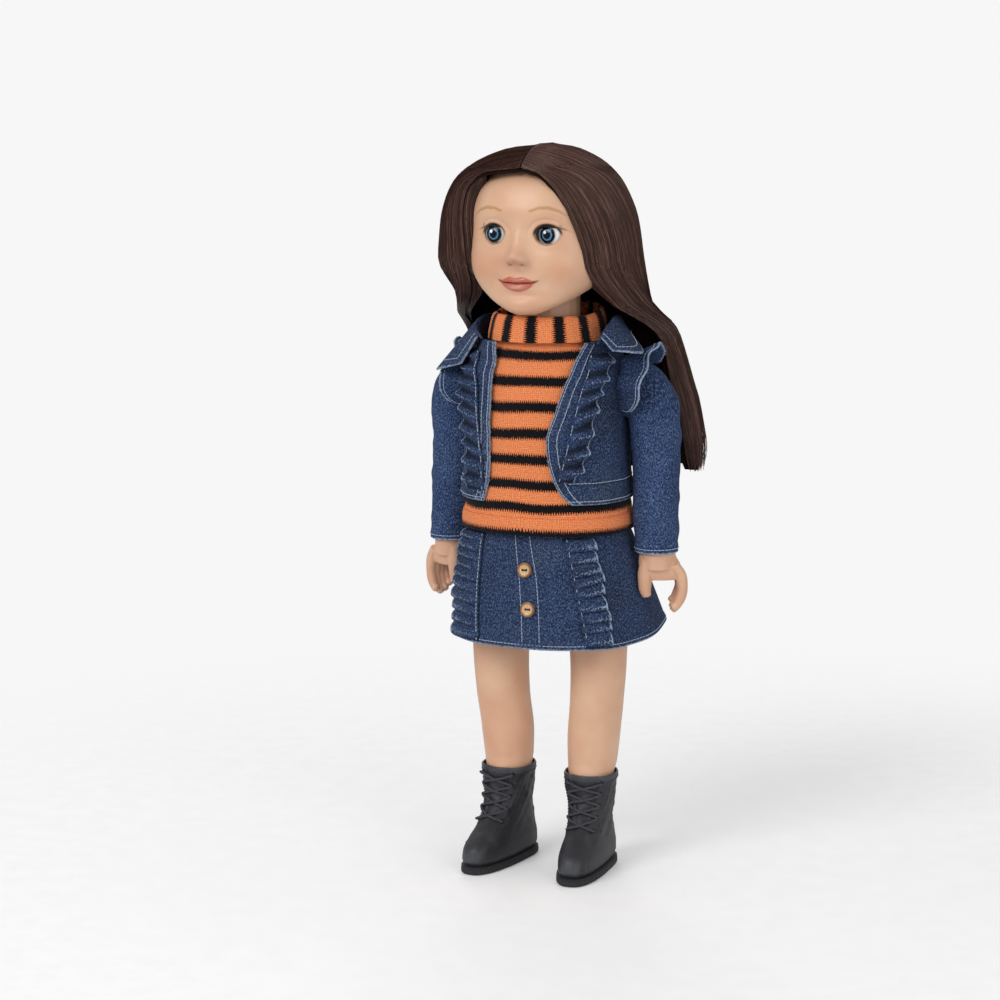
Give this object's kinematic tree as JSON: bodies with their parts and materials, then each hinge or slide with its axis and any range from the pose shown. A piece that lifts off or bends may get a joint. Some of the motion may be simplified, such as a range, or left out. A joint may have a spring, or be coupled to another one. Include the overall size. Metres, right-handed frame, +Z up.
{
  "type": "fashion doll",
  "caption": "Standing fashion doll with sleep eyes and long hair, turning head, arms and legs, dressed in a striped sweater, ruffled denim jacket, denim skirt and laced ankle boots.",
  "frame": {"origin": "on the floor between the boots, under the middle of the doll's overall width and depth", "axes": "+Z up, +X towards the doll's left hand, -Y the way the doll faces"},
  "size_m": [0.1796, 0.113, 0.457],
  "materials": {
    "vinyl_skin": "soft vinyl, skin tone",
    "hair": "dark brown rooted fibre",
    "eye_white": "glossy white",
    "iris_blue": "clear gloss over blue",
    "lash_brown": "fine dark brown fibre",
    "steel": "bare steel",
    "knit": "orange and black striped knit",
    "denim": "washed blue denim",
    "boot": "black imitation leather",
    "boot_sole": "black rubber",
    "boot_lace": "black cord",
    "button": "pale varnished wood"
  },
  "bodies": {
    "body": {"torso": "vinyl_skin", "sweater_body": "knit", "sweater_collar": "knit", "sweater_hem": "knit", "jacket_body": "denim", "jacket_collar": "denim", "jacket_left_ruffle": "denim", "jacket_right_ruffle": "denim", "left_shoulder_ruffle": "denim", "right_shoulder_ruffle": "denim", "skirt_body": "denim", "skirt_waistband": "denim", "skirt_left_ruffle": "denim", "skirt_right_ruffle": "denim", "skirt_button_upper": "button", "skirt_button_lower": "button"},
    "head": {"head_shell": "vinyl_skin", "hair_cap": "hair", "hair_back_fall": "hair", "hair_left_fall": "hair", "hair_right_fall": "hair", "left_eye_case": "eye_white", "right_eye_case": "eye_white", "left_eye_axle": "steel", "right_eye_axle": "steel"},
    "left_eye": {"left_eyeball": "eye_white", "left_iris": "iris_blue", "left_lashes": "lash_brown", "left_eye_weight": "steel"},
    "right_eye": {"right_eyeball": "eye_white", "right_iris": "iris_blue", "right_lashes": "lash_brown", "right_eye_weight": "steel"},
    "left_arm": {"left_arm": "vinyl_skin", "left_sleeve": "denim"},
    "right_arm": {"right_arm": "vinyl_skin", "right_sleeve": "denim"},
    "left_leg": {"left_leg": "vinyl_skin", "left_boot_upper": "boot", "left_boot_sole": "boot_sole", "left_boot_laces": "boot_lace"},
    "right_leg": {"right_leg": "vinyl_skin", "right_boot_upper": "boot", "right_boot_sole": "boot_sole", "right_boot_laces": "boot_lace"}
  },
  "joints": [
    {"name": "head_turn", "type": "hinge", "parent": "body", "child": "head", "pos_m": [0, 0, 0.3775], "axis": [0, 0, 1], "range_deg": [-60, 60], "deforming": ["hair_back_fall", "hair_left_fall", "hair_right_fall"]},
    {"name": "left_arm_swing", "type": "hinge", "parent": "body", "child": "left_arm", "pos_m": [0.04297, 0.008, 0.30597], "axis": [-1, 0, 0], "range_deg": [-30, 90], "deforming": ["left_shoulder_ruffle", "jacket_collar"]},
    {"name": "right_arm_swing", "type": "hinge", "parent": "body", "child": "right_arm", "pos_m": [-0.04297, 0.008, 0.30597], "axis": [-1, 0, 0], "range_deg": [-30, 90], "deforming": ["right_shoulder_ruffle"]},
    {"name": "left_leg_swing", "type": "hinge", "parent": "body", "child": "left_leg", "pos_m": [0.0101, 0, 0.19], "axis": [-1, 0, 0], "range_deg": [-20, 90], "deforming": ["skirt_body", "skirt_left_ruffle", "skirt_button_upper", "skirt_button_lower"]},
    {"name": "right_leg_swing", "type": "hinge", "parent": "body", "child": "right_leg", "pos_m": [-0.0101, 0, 0.19], "axis": [-1, 0, 0], "range_deg": [-20, 90], "deforming": ["skirt_right_ruffle"]},
    {"name": "left_eye_close", "type": "hinge", "parent": "head", "child": "left_eye", "pos_m": [0.0177, -0.032, 0.40301], "axis": [1, 0, 0], "range_deg": [0, 55]},
    {"name": "right_eye_close", "type": "hinge", "parent": "head", "child": "right_eye", "pos_m": [-0.0177, -0.032, 0.40301], "axis": [1, 0, 0], "range_deg": [0, 55]}
  ]
}
